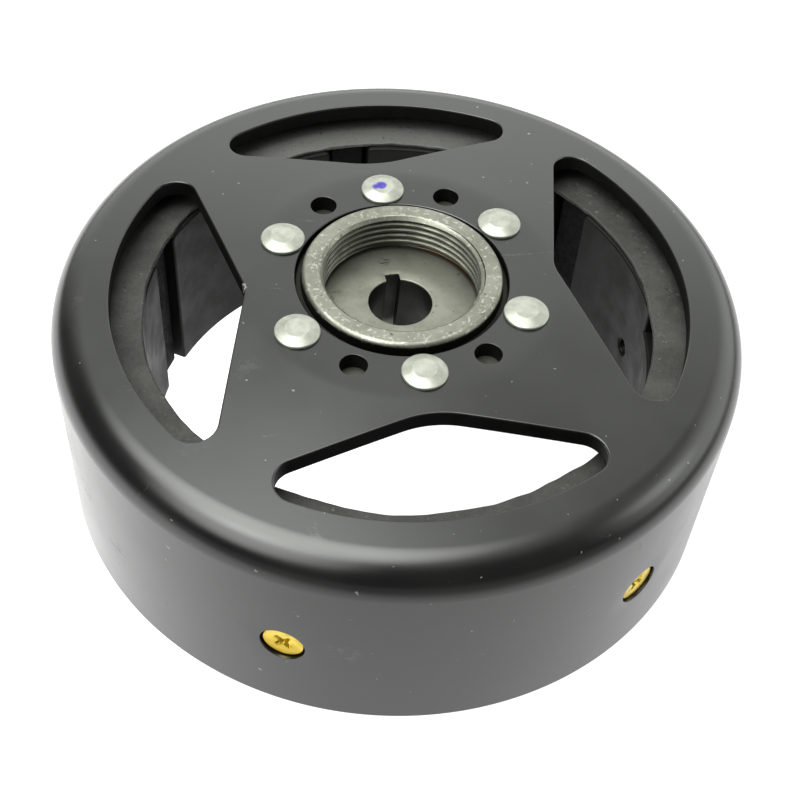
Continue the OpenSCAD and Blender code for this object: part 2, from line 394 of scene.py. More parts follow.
# ---------------------------------------------------------------- materials
# Marks on the paint: light scuffs and dull stains, each a place and a reach in mm.
SCUFFS = (((-68.3, -15.2, 28.0), 5.0), ((-65.3, -25.1, 24.0), 4.0), ((-20.7, -66.9, 23.0), 4.5),
          ((28.6, -63.9, 24.0), 4.0), ((-24.0, -57.5, 48.0), 2.5))
STAINS = (((-33.0, -20.5, SEAT_Z), 4.0), ((-45.0, -39.0, SEAT_Z - 1.5), 6.0),
          ((-64.5, 3.0, SEAT_Z - 3.0), 3.0), ((-60.0, -36.0, 18.0), 5.0))


class Paint:
    """A procedural material on one Principled shader, fed by object coordinates."""

    def __init__(self, name, **sockets):
        self.material = bpy.data.materials.new(name)
        self.material.use_nodes = True
        self.tree = self.material.node_tree
        self.shader = self.tree.nodes["Principled BSDF"]
        for key, value in sockets.items():
            self.shader.inputs[key.replace("_", " ")].default_value = value
        self.place = self.node("ShaderNodeTexCoord").outputs["Object"]

    def node(self, kind, **settings):
        made = self.tree.nodes.new(kind)
        for key, value in settings.items():
            setattr(made, key, value)
        return made

    def link(self, source, target):
        self.tree.links.new(source, target)

    def set(self, socket, value):
        if isinstance(value, bpy.types.NodeSocket):
            self.link(value, socket)
        else:
            socket.default_value = value

    def math(self, operation, a, b=0.0, clamp=False):
        made = self.node("ShaderNodeMath", operation=operation, use_clamp=clamp)
        self.set(made.inputs[0], a)
        self.set(made.inputs[1], b)
        return made.outputs[0]

    def stretched(self, x, y, z, shift=(0, 0, 0)):
        made = self.node("ShaderNodeMapping")
        self.link(self.place, made.inputs["Vector"])
        made.inputs["Scale"].default_value = (x, y, z)
        made.inputs["Location"].default_value = shift
        return made.outputs[0]

    def split(self):
        parts = self.node("ShaderNodeSeparateXYZ")
        self.link(self.place, parts.inputs[0])
        return parts.outputs

    def radius(self, x, y):
        return self.math("SQRT", self.math("ADD", self.math("MULTIPLY", x, x),
                                           self.math("MULTIPLY", y, y)))

    def cylindrical(self, radial, angular, axial):
        """(radius, angle, height), each times its own scale."""
        x, y, z = self.split()
        radius = self.radius(x, y)
        angle = self.math("ARCTAN2", y, x)
        join = self.node("ShaderNodeCombineXYZ")
        for slot, part, scale in zip(join.inputs, (radius, angle, z), (radial, angular, axial)):
            self.link(self.math("MULTIPLY", part, scale), slot)
        return join.outputs[0]

    def radius_height(self):
        x, y, z = self.split()
        return self.radius(x, y), z

    def noise(self, scale, detail=4.0, rough=0.55, vector=None, distortion=0.0):
        made = self.node("ShaderNodeTexNoise")
        self.link(vector or self.place, made.inputs["Vector"])
        made.inputs["Scale"].default_value = scale
        made.inputs["Detail"].default_value = detail
        made.inputs["Roughness"].default_value = rough
        made.inputs["Distortion"].default_value = distortion
        return made.outputs["Fac"]

    def spread(self, value, low, high, to_low=0.0, to_high=1.0):
        made = self.node("ShaderNodeMapRange", interpolation_type="SMOOTHSTEP")
        self.link(value, made.inputs["Value"])
        for key, number in zip(("From Min", "From Max", "To Min", "To Max"),
                               (low, high, to_low, to_high)):
            made.inputs[key].default_value = number
        return made.outputs["Result"]

    def near(self, point, reach, soft=0.5):
        """1 close to a point given in mm, falling to 0 at reach mm."""
        made = self.node("ShaderNodeVectorMath", operation="DISTANCE")
        self.link(self.place, made.inputs[0])
        made.inputs[1].default_value = Vector(point) * MM
        return self.spread(made.outputs["Value"], reach * MM, reach * (1 - soft) * MM)

    def blend(self, factor, a, b):
        made = self.node("ShaderNodeMix", data_type="RGBA")
        self.set(made.inputs["Factor"], factor)
        for socket, value in zip((made.inputs[6], made.inputs[7]), (a, b)):
            self.set(socket, value if isinstance(value, bpy.types.NodeSocket) else (*value, 1))
        return made.outputs[2]

    def finish(self, colour, rough, *bumps):
        """bumps are (height, distance in mm, strength), coarse first."""
        self.link(colour, self.shader.inputs["Base Color"])
        self.link(rough, self.shader.inputs["Roughness"])
        last = None
        for height, distance, strength in bumps:
            bump = self.node("ShaderNodeBump")
            bump.inputs["Distance"].default_value = distance * MM
            bump.inputs["Strength"].default_value = strength
            self.link(height, bump.inputs["Height"])
            if last:
                self.link(last, bump.inputs["Normal"])
            last = bump.outputs["Normal"]
        self.link(last, self.shader.inputs["Normal"])
        return self.material


def cup_paint():
    """Satin black paint with dust, scuffs and chips."""
    p = Paint("black_paint", Specular_IOR_Level=0.62)
    cloud = p.noise(45, 3)
    peel = p.noise(900, 2)
    dust = p.noise(1500, 3, 0.7)
    specks = p.spread(p.noise(620, 2, 0.5), 0.74, 0.78)
    scratches = p.spread(p.noise(60, 3, 0.6, p.stretched(1, 9, 2), 0.6), 0.71, 0.74, 0.0, 0.5)
    streaks = p.spread(p.noise(210, 4, 0.7, p.stretched(1, 1, 2.4), 0.8), 0.47, 0.6)
    base = p.blend(p.spread(cloud, 0.3, 0.7), (0.003, 0.0032, 0.0031), (0.0055, 0.0057, 0.0055))
    worn = p.blend(p.math("MULTIPLY", specks, 0.8), base, (0.16, 0.16, 0.15))
    colour = p.blend(p.math("MULTIPLY", scratches, p.spread(dust, 0.5, 0.6)), worn,
                     (0.07, 0.07, 0.065))
    rough = p.math("ADD", p.spread(cloud, 0.25, 0.75, 0.20, 0.27),
                   p.math("MULTIPLY", scratches, 0.2))
    for spot, reach in SCUFFS:
        scuff = p.math("MULTIPLY", p.near(spot, reach, 0.7), streaks)
        colour = p.blend(p.math("MULTIPLY", scuff, 0.4), colour, (0.11, 0.115, 0.105))
        rough = p.math("ADD", rough, p.math("MULTIPLY", scuff, 0.12))
    for spot, reach in STAINS:
        rough = p.math("ADD", rough, p.math("MULTIPLY", p.near(spot, reach, 0.8),
                                            p.math("MULTIPLY", streaks, 0.14)))
    # A pale grey spot on the left window's inner vertex.
    pale_spot = p.math("MULTIPLY", p.near((-31.9, 0.6, SEAT_Z - 1.0), 1.5, 0.4),
                  p.spread(p.noise(1100, 2, 0.5), 0.45, 0.55))
    colour = p.blend(pale_spot, colour, (0.30, 0.30, 0.28))
    return p.finish(colour, rough, (peel, 0.03, 0.12), (dust, 0.01, 0.08))


def shaded_wall_paint():
    """Painted shade: a darker, duller copy of the black paint for the walls that the punch left, which
    lie in shade.
    """
    p = Paint("black_paint_shaded_walls", Specular_IOR_Level=0.06)
    cloud = p.noise(300, 4, 0.6)
    colour = p.blend(p.spread(cloud, 0.3, 0.7), (0.0022, 0.0023, 0.0022), (0.005, 0.005, 0.0048))
    # The same pale grey spot on the left window's inner vertex.
    pale_spot = p.math("MULTIPLY", p.near((-31.9, 0.6, SEAT_Z - 1.0), 1.6, 0.4),
                  p.spread(p.noise(1100, 2, 0.5), 0.45, 0.55))
    colour = p.blend(pale_spot, colour, (0.30, 0.30, 0.28))
    return p.finish(colour, p.spread(cloud, 0.3, 0.7, 0.5, 0.65), (cloud, 0.05, 0.3))


def hub_steel():
    """Turned steel, rusty by the floor, with painted shade: black outside the collar and in the bore.
    """
    p = Paint("turned_steel", Metallic=0.9)
    turned = p.noise(1.0, 4, 0.7, p.cylindrical(6000, 0.6, 3500))
    stain = p.noise(160, 5, 0.65)
    pits = p.spread(p.noise(700, 3, 0.6), 0.66, 0.72)
    radius, height = p.radius_height()
    base = p.blend(p.spread(stain, 0.35, 0.7), (0.212, 0.214, 0.182), (0.145, 0.145, 0.121))
    corner = p.math("MULTIPLY", p.spread(radius, 15.4 * MM, 16.4 * MM),
                    p.spread(height, (FLOOR_Z + 1.2) * MM, (FLOOR_Z + 0.1) * MM))
    rust = p.math("MULTIPLY", corner, p.near((13, 9, FLOOR_Z), 15, 0.8))
    base = p.blend(p.math("MULTIPLY", rust, 0.75), base, (0.14, 0.075, 0.03))
    # Painted shade: near black on the collar's outer side and shoulder, within 23 mm of the axis, and
    # in the bore below the floor.
    black = p.math("MULTIPLY", p.spread(radius, 19.5 * MM, 19.9 * MM),
                   p.spread(height, (COLLAR_TOP - 0.55) * MM, (COLLAR_TOP - 1.0) * MM))
    bore_shade = p.math("MULTIPLY", p.spread(radius, 9.9 * MM, 9.6 * MM),
                  p.spread(height, (FLOOR_Z - 0.05) * MM, (FLOOR_Z - 0.6) * MM))
    black = p.math("MULTIPLY", black, p.spread(radius, 23.2 * MM, 22.6 * MM))
    shaded = p.math("MAXIMUM", black, p.math("MULTIPLY", bore_shade, 0.92))
    base = p.blend(shaded, base, (0.006, 0.006, 0.0055))
    for spot, reach in (((-12.5, 3.0, FLOOR_Z), 2.2), ((-1.5, 12.0, FLOOR_Z), 1.6),
                        ((9.0, -10.0, FLOOR_Z), 1.2)):
        mark = p.math("MULTIPLY", p.near(spot, reach, 0.8),
                      p.spread(p.noise(420, 3, 0.6, p.stretched(1, 3, 1)), 0.45, 0.55))
        base = p.blend(mark, base, (0.03, 0.028, 0.022))
    # Up to 0.4 darker outside the thread's minor radius, from 1 mm below the collar's top downwards.
    darker_below_collar_top = p.math("MULTIPLY", p.spread(radius, 15.4 * MM, 15.8 * MM),
                   p.spread(height, (COLLAR_TOP - 0.5) * MM, (COLLAR_TOP - 1.0) * MM, 0.0, 0.4))
    base = p.blend(darker_below_collar_top, base, (0.03, 0.029, 0.023))
    dents = p.math("MULTIPLY", p.spread(p.noise(1300, 3, 0.6), 0.56, 0.66, 0.0, 0.6),
                   p.spread(height, (COLLAR_TOP - 1.4) * MM, (COLLAR_TOP - 0.5) * MM))
    base = p.blend(dents, base, (0.42, 0.42, 0.38))
    colour = p.blend(p.math("MULTIPLY", pits, 0.7), base, (0.035, 0.033, 0.027))
    rough = p.spread(stain, 0.3, 0.7, 0.34, 0.5)
    return p.finish(colour, rough, (turned, 0.03, 0.35), (stain, 0.05, 0.15), (dents, 0.04, 0.3))


def rivet_steel(marked):
    p = Paint("zinc_rivet_marked" if marked else "zinc_rivet", Metallic=0.75)
    cloud = p.noise(420, 4, 0.6)
    fine = p.noise(2600, 3, 0.6)
    colour = p.blend(p.spread(cloud, 0.3, 0.7), (0.35, 0.362, 0.323), (0.25, 0.258, 0.227))
    colour = p.blend(p.spread(fine, 0.62, 0.72, 0.0, 0.5), colour, (0.16, 0.16, 0.14))
    if marked:
        dot = p.math("MAXIMUM", p.near((-0.3, FACE_R + 0.1, SEAT_Z + RIVET_HEAD_H), 1.4, 0.4),
                     p.near((-1.5, FACE_R - 0.2, SEAT_Z + RIVET_HEAD_H), 1.1, 0.7))
        ink = p.math("MULTIPLY", dot, p.spread(cloud, 0.2, 0.5, 0.65, 1.0))
        colour = p.blend(ink, colour, (0.055, 0.04, 0.30))
    return p.finish(colour, p.spread(cloud, 0.3, 0.7, 0.36, 0.5), (fine, 0.02, 0.3),
                    (cloud, 0.06, 0.2))


def screw_zinc():
    p = Paint("yellow_zinc", Metallic=0.9)
    cloud = p.noise(330, 3, 0.55)
    fine = p.noise(2200, 3, 0.6)
    colour = p.blend(p.spread(cloud, 0.35, 0.65), (0.74, 0.56, 0.075), (0.60, 0.42, 0.045))
    colour = p.blend(p.spread(fine, 0.64, 0.74, 0.0, 0.6), colour, (0.12, 0.07, 0.02))
    return p.finish(colour, p.spread(cloud, 0.3, 0.7, 0.28, 0.42), (fine, 0.02, 0.25),
                    (cloud, 0.05, 0.15))


def cage_casting(shaded):
    """Rough grey casting, or a darker, duller copy of it as painted shade for the fingers that lie in
    shade in the pole gaps.
    """
    p = Paint("shaded_casting" if shaded else "rough_casting",
              Metallic=0.0 if shaded else 0.2, Specular_IOR_Level=0.06 if shaded else 0.35)
    cloud = p.noise(120, 4, 0.6)
    grit = p.noise(900, 5, 0.7)
    black = p.spread(p.noise(1500, 3, 0.7), 0.6, 0.68, 0.0, 0.8)
    # Painted shade: the shaded copy is near black.
    if shaded:
        colour = p.blend(p.spread(cloud, 0.3, 0.7), (0.005, 0.005, 0.0055), (0.002, 0.002, 0.0022))
    else:
        colour = p.blend(p.spread(cloud, 0.3, 0.7), (0.040, 0.040, 0.037), (0.022, 0.022, 0.020))
        colour = p.blend(p.spread(grit, 0.6, 0.7, 0.0, 0.75), colour, (0.11, 0.11, 0.10))
        # Lighter round the point (0, 62) at the poles' top, fading out by 45 mm.
        lighter_round_plus_y = p.near((0, 62, POLE_TOP), 45, 0.6)
        colour = p.blend(p.math("MULTIPLY", lighter_round_plus_y, 0.7), colour, (0.10, 0.10, 0.096))
    colour = p.blend(black, colour, (0.005, 0.005, 0.005))
    return p.finish(colour, p.spread(grit, 0.3, 0.7, 0.5, 0.75), (cloud, 0.5, 0.35),
                    (grit, 0.12, 0.5))


def pole_steel():
    p = Paint("pole_steel", Specular_IOR_Level=0.12)
    lines = p.noise(1.0, 3, 0.6, p.cylindrical(300, 70, 2600))
    cloud = p.noise(140, 4, 0.6)
    colour = p.blend(p.spread(cloud, 0.3, 0.7), (0.0035, 0.0037, 0.0033), (0.006, 0.0061, 0.0053))
    colour = p.blend(p.spread(p.noise(800, 3), 0.66, 0.73, 0.0, 0.3), colour,
                     (0.05, 0.046, 0.04))
    return p.finish(colour, p.spread(cloud, 0.3, 0.7, 0.42, 0.58), (lines, 0.04, 0.3),
                    (cloud, 0.08, 0.2))


def magnet_ferrite():
    p = Paint("ferrite", Specular_IOR_Level=0.4)
    cloud = p.noise(160, 4, 0.6)
    grit = p.noise(1700, 4, 0.7)
    colour = p.blend(p.spread(cloud, 0.3, 0.7), (0.035, 0.033, 0.031), (0.055, 0.052, 0.048))
    return p.finish(colour, p.spread(grit, 0.3, 0.7, 0.55, 0.75), (grit, 0.05, 0.4))


# ---------------------------------------------------------------- cup
def plate_z(radius):
    return SEAT_Z - CONE_SLOPE * max(radius - SEAT_R, 0.0)


def on_plate(u, v, drop, local):
    radius, angle = math.hypot(u, v), math.atan2(v, u)
    tilt = CONE * min(max((radius - SEAT_R + 0.8) / 1.6, 0.0), 1.0)
    up = polar(math.sin(tilt), angle, math.cos(tilt))
    stretch = 1 / math.cos(tilt)
    point = (u, v, plate_z(radius) - drop * stretch)
    return point, Vector((local[0], local[1], 0)) + up * local[2]


def window_outline(turn, vertex_r, edge_degrees, fillet):
    """An arc outside and two straight edges inside, with a fillet in each corner."""
    edge = math.radians(edge_degrees)
    along = Vector((math.cos(edge), math.sin(edge)))
    start = Vector((vertex_r, 0)) + WINDOW_CORNER * Vector((math.sin(edge), -math.cos(edge)))
    ahead = start.dot(along)
    run = math.sqrt(ahead ** 2 - start.dot(start) + (WINDOW_R - WINDOW_CORNER) ** 2) - ahead
    corner = start + run * along
    corner_angle = math.atan2(corner.y, corner.x)
    middle = Vector((vertex_r + fillet / math.sin(edge), 0))
    normal = edge + TAU / 4
    half = []

    def arc(centre, radius, begin, end, steps, first=0):
        for k in range(first, steps + 1):
            a = begin + (end - begin) * k / steps
            half.append((centre + radius * Vector((math.cos(a), math.sin(a))), a))

    arc(middle, fillet, math.pi, normal, 6)
    arc(corner, WINDOW_CORNER, normal, corner_angle, 18)
    arc(Vector((0, 0)), WINDOW_R, corner_angle, 0.0, 30, 1)
    whole = half[:-1] + [(Vector((p.x, -p.y)), -a) for p, a in reversed(half[1:])]
    spin = Matrix.Rotation(turn, 2)
    out = []
    for p, a in whole:
        q = spin @ p
        out.append((q.x, q.y, -math.cos(a + turn), -math.sin(a + turn)))
    return refined(out, 1.6)


def wall_loop(skin, low_row, high_row, radius, heights, side):
    """The wall between two rings, unrolled at the cup's radius from seam to seam."""
    angles = [TAU * k / RING for k in range(RING + 1)]
    seam = [skin.put(polar(radius, SEAM, z), polar(side, SEAM)) for z in heights]
    low_z, high_z = skin.points[low_row[0]].z, skin.points[high_row[0]].z
    loop = [((a * CUP_R, low_z), low_row[i % RING]) for i, a in enumerate(angles)]
    loop += [((TAU * CUP_R, z), v) for z, v in zip(heights, seam)]
    loop += [((a * CUP_R, high_z), high_row[i % RING])
             for i, a in reversed(list(enumerate(angles)))]
    loop += [((0.0, z), v) for z, v in reversed(list(zip(heights, seam)))]
    return loop


def wall_fill(skin, low_row, high_row, radius, holes, side):
    """The wall round its screw holes; side is 1 on the outside and -1 on the inside."""
    low_z, high_z = skin.points[low_row[0]].z, skin.points[high_row[0]].z
    heights = [low_z + (high_z - low_z) * k / WALL_ROWS for k in range(1, WALL_ROWS)]
    loop = wall_loop(skin, low_row, high_row, radius, heights, side)
    holes = [[(((u - SEAM * CUP_R) % (TAU * CUP_R), z), vertex) for (u, z), vertex in hole]
             for hole in holes]
    candidates = [(TAU * CUP_R * (k + 0.5 * (i % 2)) / WALL_COLUMNS, z)
                  for i, z in enumerate(heights) for k in range(WALL_COLUMNS)]
    free = []
    for u, z in clear_points(candidates, [loop] + holes, 1.6):
        a = SEAM + u / CUP_R
        free.append(((u, z), skin.put(polar(radius, a, z), polar(side, a))))
    skin.fill([loop] + holes, free)


def corner_profile(radius, side):
    """The drawn corner from the wall to the plate; side is -1 on the inside."""
    steps = 14
    angles = [(TAU / 4 - CONE) * k / steps for k in range(steps + 1)]
    return [(CORNER.x + radius * math.cos(a), CORNER.y + radius * math.sin(a),
             side * math.cos(a), side * math.sin(a)) for a in angles]


def plate_spots():
    """Staggered rings of free points between the hub's hole and the drawn corner."""
    first_ring, ring_step, along = 22.4, 2.0, 2.2
    spots = []
    for i in range(21):
        radius = first_ring + ring_step * i
        count = int(TAU * radius / along)
        spots += [tuple(polar(radius, TAU * (k + 0.5 * (i % 2)) / count).to_2d())
                  for k in range(count)]
    return spots


def build_cup(material, shaded_wall_material):
    skin = Skin()
    outer_rows = revolve(skin, corner_profile(CORNER_R, 1))
    inner_rows = revolve(skin, corner_profile(CORNER_R - SHEET, -1))
    c = RIM_CHAMFER
    rim = rounded([(WALL_R, RIM_BAND, 0), (WALL_R, c, 0.25), (WALL_R + c, 0, 0.25),
                   (CUP_R - c, 0, 0.3), (CUP_R, c, 0.3), (CUP_R, RIM_BAND, 0)])
    rim_rows = revolve(skin, rim)

    tops = [plan_loop(skin, outer_rows[-1])]
    bottoms = [plan_loop(skin, inner_rows[-1])]
    windows = [window_outline(math.radians(turn), *shape)
               for turns, *shape in WINDOWS for turn in turns]
    cuts = [(outline, edge_rows(SHEET, 0.35, 0.15)) for outline in windows]
    centre = Vector((0, 0))
    cuts.append((circle_hole(centre, HUB_HOLE_R, 180), edge_rows(SHEET, 0.3, 0.2)))
    for k in range(6):
        spot = polar(FACE_R, RIVET_TURN + TAU * k / 6).to_2d()
        cuts.append((circle_hole(spot, RIVET_R, 40), edge_rows(SHEET, 0.1, 0.1)))
    for a in FACE_HOLES:
        spot = polar(FACE_R, a).to_2d()
        cuts.append((circle_hole(spot, FACE_HOLE_R, 48), edge_rows(SHEET, 0.12, 0.1)))
    for outline, rows in cuts:
        top, bottom = cut(skin, outline, rows, on_plate)
        tops.append(top)
        bottoms.append(bottom)
    for loops, drop, side in ((tops, 0.0, 1), (bottoms, SHEET, -1)):
        free = [((u, v), skin.put(*on_plate(u, v, drop, (0, 0, side))))
                for u, v in clear_points(plate_spots(), loops, 0.9)]
        skin.fill(loops, free)

    sink = [(SINK_R + 0.2, CUP_R, 0.0, 0.0, 1.0), (SINK_R + 0.06, CUP_R, 0.06, 0.7, 0.7),
            (SINK_R, CUP_R, 0.2, 1.0, 0.0),
            (SINK_R, None, SCREW_HEAD_X - HEAD_EDGE + 0.1, 1.0, 0.0),
            (SINK_R - 0.1, None, SCREW_HEAD_X - HEAD_EDGE - 0.1, 0.7, 0.7),
            (SCREW_HOLE_R + 0.1, None, WALL_R + 0.45, 0.7, 0.7),
            (SCREW_HOLE_R, None, WALL_R + 0.25, 1.0, 0.0),
            (SCREW_HOLE_R, WALL_R, 0.0, 1.0, -0.3)]
    outside, inner_holes = [], []
    for k in range(POLES):
        top, bottom = radial_hole(skin, POLE_TURN + TAU * k / POLES, sink, 56, CUP_R)
        outside.append(top)
        inner_holes.append(bottom)
    wall_fill(skin, rim_rows[-1], outer_rows[0], CUP_R, outside, 1)
    wall_fill(skin, rim_rows[0], inner_rows[0], WALL_R, inner_holes, -1)
    skin.build("cup_pressing", material, "cup_paint", "rotor_cup", shaded_wall_material=shaded_wall_material)


# ---------------------------------------------------------------- hub
def bore_outline(radius):
    """The bore with its keyway on the +X side, walked with the metal on the left."""
    half = math.asin(KEY_W / 2 / radius)
    bottom = radius + KEY_DEPTH
    corners = [(bottom, KEY_W / 2, 0.25), (bottom, -KEY_W / 2, 0.25),
               (radius * math.cos(half), -KEY_W / 2, 0.2)]
    steps = 72
    for k in range(1, steps):
        a = -half - (TAU - 2 * half) * k / steps
        corners.append((radius * math.cos(a), radius * math.sin(a), 0))
    corners.append((radius * math.cos(half), KEY_W / 2, 0.2))
    spin = Matrix.Rotation(POLE_TURN + TAU / 4, 2)
    out = []
    for x, y, nx, ny in rounded(corners, closed=True):
        q, n = spin @ Vector((x, y)), spin @ Vector((nx, ny))
        out.append((q.x, q.y, n.x, n.y))
    return out


def puller_radius(angle, z):
    """Radius of the recess: relief groove, thread and lead-in."""
    wear = 0.03 * noise.noise(Vector((3 * math.cos(angle), 3 * math.sin(angle), z * 0.4)))
    turns = z / THREAD_PITCH - angle / TAU + THREAD_START
    thread = THREAD_MINOR + wear + THREAD_DEPTH * thread_wave(turns)
    mouth = THREAD_MINOR + LEAD_IN - (COLLAR_TOP - z)
    groove = RELIEF_R - max(z - RELIEF_TOP + 0.3, 0.0) * 3
    return max(thread, mouth, groove)


def build_hub(material):
    skin = Skin()
    boss = rounded([(BORE_BOTTOM_R + 3.5, BOSS_BOTTOM, 0), (BOSS_R - 0.8, BOSS_BOTTOM, 0.2),
                    (BOSS_R, BOSS_BOTTOM + 0.8, 0.2),
                    (BOSS_R, FLANGE_UNDER - ROOT_R + BOSS_R, 1.2),
                    (ROOT_R, FLANGE_UNDER, 0.5), (ROOT_R + 1, FLANGE_UNDER, 0)])
    flange = rounded([(FLANGE_R - 0.7, FLANGE_UNDER, 0), (FLANGE_R - 0.4, FLANGE_UNDER, 0.15),
                      (FLANGE_R, FLANGE_UNDER + 0.4, 0.15),
                      (FLANGE_R, SEAT_UNDER - 0.6, 0.15), (FLANGE_R - 0.6, SEAT_UNDER, 0.15),
                      (FLANGE_R - 0.7, SEAT_UNDER, 0)])
    collar = rounded([(HUB_HOLE_R + 0.5, SEAT_UNDER, 0), (HUB_HOLE_R - 0.02, SEAT_UNDER, 0.15),
                      (HUB_HOLE_R - 0.02, SEAT_UNDER + 1.9, 0.15),
                      (COLLAR_R, SEAT_UNDER + 1.9, 0.3), (COLLAR_R, COLLAR_TOP, 1.1),
                      (THREAD_MINOR + LEAD_IN + 0.25, COLLAR_TOP, 0)])
    count = 300
    boss_rows = revolve(skin, boss, count, 0.0)
    flange_rows = revolve(skin, flange, count, 0.0)
    collar_rows = revolve(skin, collar, count, 0.0)

    def level(u, v, drop, local):
        return (u, v, SEAT_UNDER - drop), local

    tops, bottoms = [], []
    for k in range(6):
        spot = polar(FACE_R, RIVET_TURN + TAU * k / 6).to_2d()
        top, bottom = cut(skin, circle_hole(spot, RIVET_R, 40),
                          edge_rows(SEAT_UNDER - FLANGE_UNDER, 0.1, 0.1), level)
        tops.append(top)
        bottoms.append(bottom)
    skin.fill([plan_loop(skin, flange_rows[-1]), plan_loop(skin, collar_rows[0])] + tops)
    skin.fill([plan_loop(skin, flange_rows[0]), plan_loop(skin, boss_rows[-1])] + bottoms)

    thread_low, thread_high = FLOOR_Z + 0.3, COLLAR_TOP - 0.12
    thread_rows = helix(skin, puller_radius, thread_low, thread_high, 100, count, -1)
    floor_ring = revolve(skin, [(RELIEF_R - 0.08, FLOOR_Z + 0.08, -0.7, 0.7),
                                (RELIEF_R - 0.3, FLOOR_Z, 0, 1)], count, 0.0)
    skin.strip(thread_rows[0], floor_ring[0])
    skin.strip(thread_rows[-1], collar_rows[-1])
    bore = []
    for radius, z, out, up in ((BORE_TOP_R + 0.15, FLOOR_Z, 0.1, 1.0),
                               (BORE_TOP_R + 0.04, FLOOR_Z - 0.05, 0.7, 0.7),
                               (BORE_TOP_R, FLOOR_Z - 0.2, 1.0, 0.0),
                               (BORE_BOTTOM_R - 0.04, BOSS_BOTTOM + 0.5, 1.0, 0.0),
                               (BORE_BOTTOM_R + 0.4, BOSS_BOTTOM + 0.05, 0.6, -0.8),
                               (BORE_BOTTOM_R + 0.5, BOSS_BOTTOM, 0.1, -1.0)):
        bore.append([((x, y), skin.put((x, y, z), (nx * out, ny * out, up)))
                     for x, y, nx, ny in bore_outline(radius)])
    skin.rows([[v for _, v in ring] for ring in bore])
    floor_loops = [plan_loop(skin, floor_ring[-1]), bore[0]]
    spots = [tuple(polar(r, TAU * k / 40 + r).to_2d()) for r in (9.5, 11.2, 13.0, 14.8)
             for k in range(40)]
    free = [((u, v), skin.put((u, v, FLOOR_Z), (0, 0, 1)))
            for u, v in clear_points(spots, floor_loops, 0.7)]
    skin.fill(floor_loops, free)
    skin.fill([plan_loop(skin, boss_rows[0]), bore[-1]])
    skin.build("turned_hub", material, "hub_steel", "hub")


# ---------------------------------------------------------------- rivets
def build_rivets(plain, marked):
    grip = SEAT_Z - FLANGE_UNDER
    top, low = RIVET_HEAD_H, -grip - RIVET_HEAD_H
    profile = rounded([(0, low, 0), (RIVET_FLAT_R, low, 0.35),
                       (RIVET_HEAD_R, low + RIVET_BEVEL, 0.35), (RIVET_HEAD_R, -grip, 0.12),
                       (RIVET_R, -grip, 0.12), (RIVET_R, 0, 0.12), (RIVET_HEAD_R, 0, 0.12),
                       (RIVET_HEAD_R, top - RIVET_BEVEL, 0.35), (RIVET_FLAT_R, top, 0.35),
                       (0, top, 0)])
    profile[0] = (0.0, low, 0.0, -1.0)
    profile[-1] = (0.0, top, 0.0, 1.0)
    for k in range(6):
        skin = Skin()
        revolve(skin, profile, 72, 0.0)
        spot = polar(FACE_R, RIVET_TURN + TAU * k / 6, SEAT_Z)
        skin.build(f"rivet_{k + 1}", marked if k == 1 else plain, "rivet_steel",
                   f"hub_rivet_{k + 1}", turn=Matrix.Translation(spot))


# ---------------------------------------------------------------- magnets and poles
def curved_plate(near_r, far_r, centre, outline, holes, near_lip, far_lip, rough=None):
    """A plate bent round the crank axis, from an outline of (arc length, height)."""
    skin = Skin()

    def bent(u, v, drop, local):
        a = centre + u / near_r
        radius = near_r + drop
        if rough and 0 < drop < 0.001:
            radius += rough(a, v)
        normal = polar(-local[2], a) + polar(local[0], a + TAU / 4) + Vector((0, 0, local[1]))
        return polar(radius, a, v), normal

    top, bottom = cut(skin, outline, edge_rows(far_r - near_r, near_lip, far_lip), bent)
    tops, bottoms = [top], [bottom]
    for rows in holes:
        near, far = radial_hole(skin, 0.0, rows, 40, near_r)
        spin = Matrix.Rotation(centre, 3, "Z")
        for i in range(near[0][1], far[-1][1] + 1):
            skin.points[i] = spin @ skin.points[i]
            skin.normals[i] = spin @ skin.normals[i]
        tops.append(near)
        bottoms.append(far)
    us = [p[0] for p in outline]
    vs = [p[1] for p in outline]
    step = 1.0 if rough else 2.0
    spots = [(min(us) + step * (i + 0.5 * (j % 2)), min(vs) + step * j)
             for i in range(int((max(us) - min(us)) / step) + 1)
             for j in range(int((max(vs) - min(vs)) / step) + 1)]
    for loops, drop, side in ((tops, 0.0005, 1), (bottoms, far_r - near_r, -1)):
        free = [((u, v), skin.put(*bent(u, v, drop, (0, 0, side))))
                for u, v in clear_points(spots, loops, 0.7)]
        skin.fill(loops, free)
    return skin


def sector_outline(reference, span, low, high, corner, step=False):
    half = reference * span / 2
    corners = [(half, low, corner), (half, high, corner)]
    if step:
        edge = -half + reference * STEP_SPAN
        corners += [(edge, high, 0.8), (edge, high - STEP_DEPTH, 0.4),
                    (-half, high - STEP_DEPTH, corner)]
    else:
        corners += [(-half, high, corner)]
    corners += [(-half, low, corner)]
    return refined(rounded(corners, closed=True), 1.5)


def tapped_rows(near, far):
    """Rings of a tapped hole, with its thread as grooves."""
    rows = [(SCREW_R + 0.35, near, 0.0, 0.1, -1.0), (SCREW_R + 0.2, near, -0.08, 0.6, -0.7)]
    crest = SCREW_R - 0.35
    groove = near + 0.4
    while groove < far - 0.75:
        rows += [(crest, None, groove, 0.8, -0.4), (SCREW_R, None, groove + SCREW_PITCH / 2, 1.0, 0.0)]
        groove += SCREW_PITCH
    rows += [(crest, None, far - 0.25, 1.0, 0.0), (SCREW_R, far, 0.0, 0.6, 0.7)]
    return rows


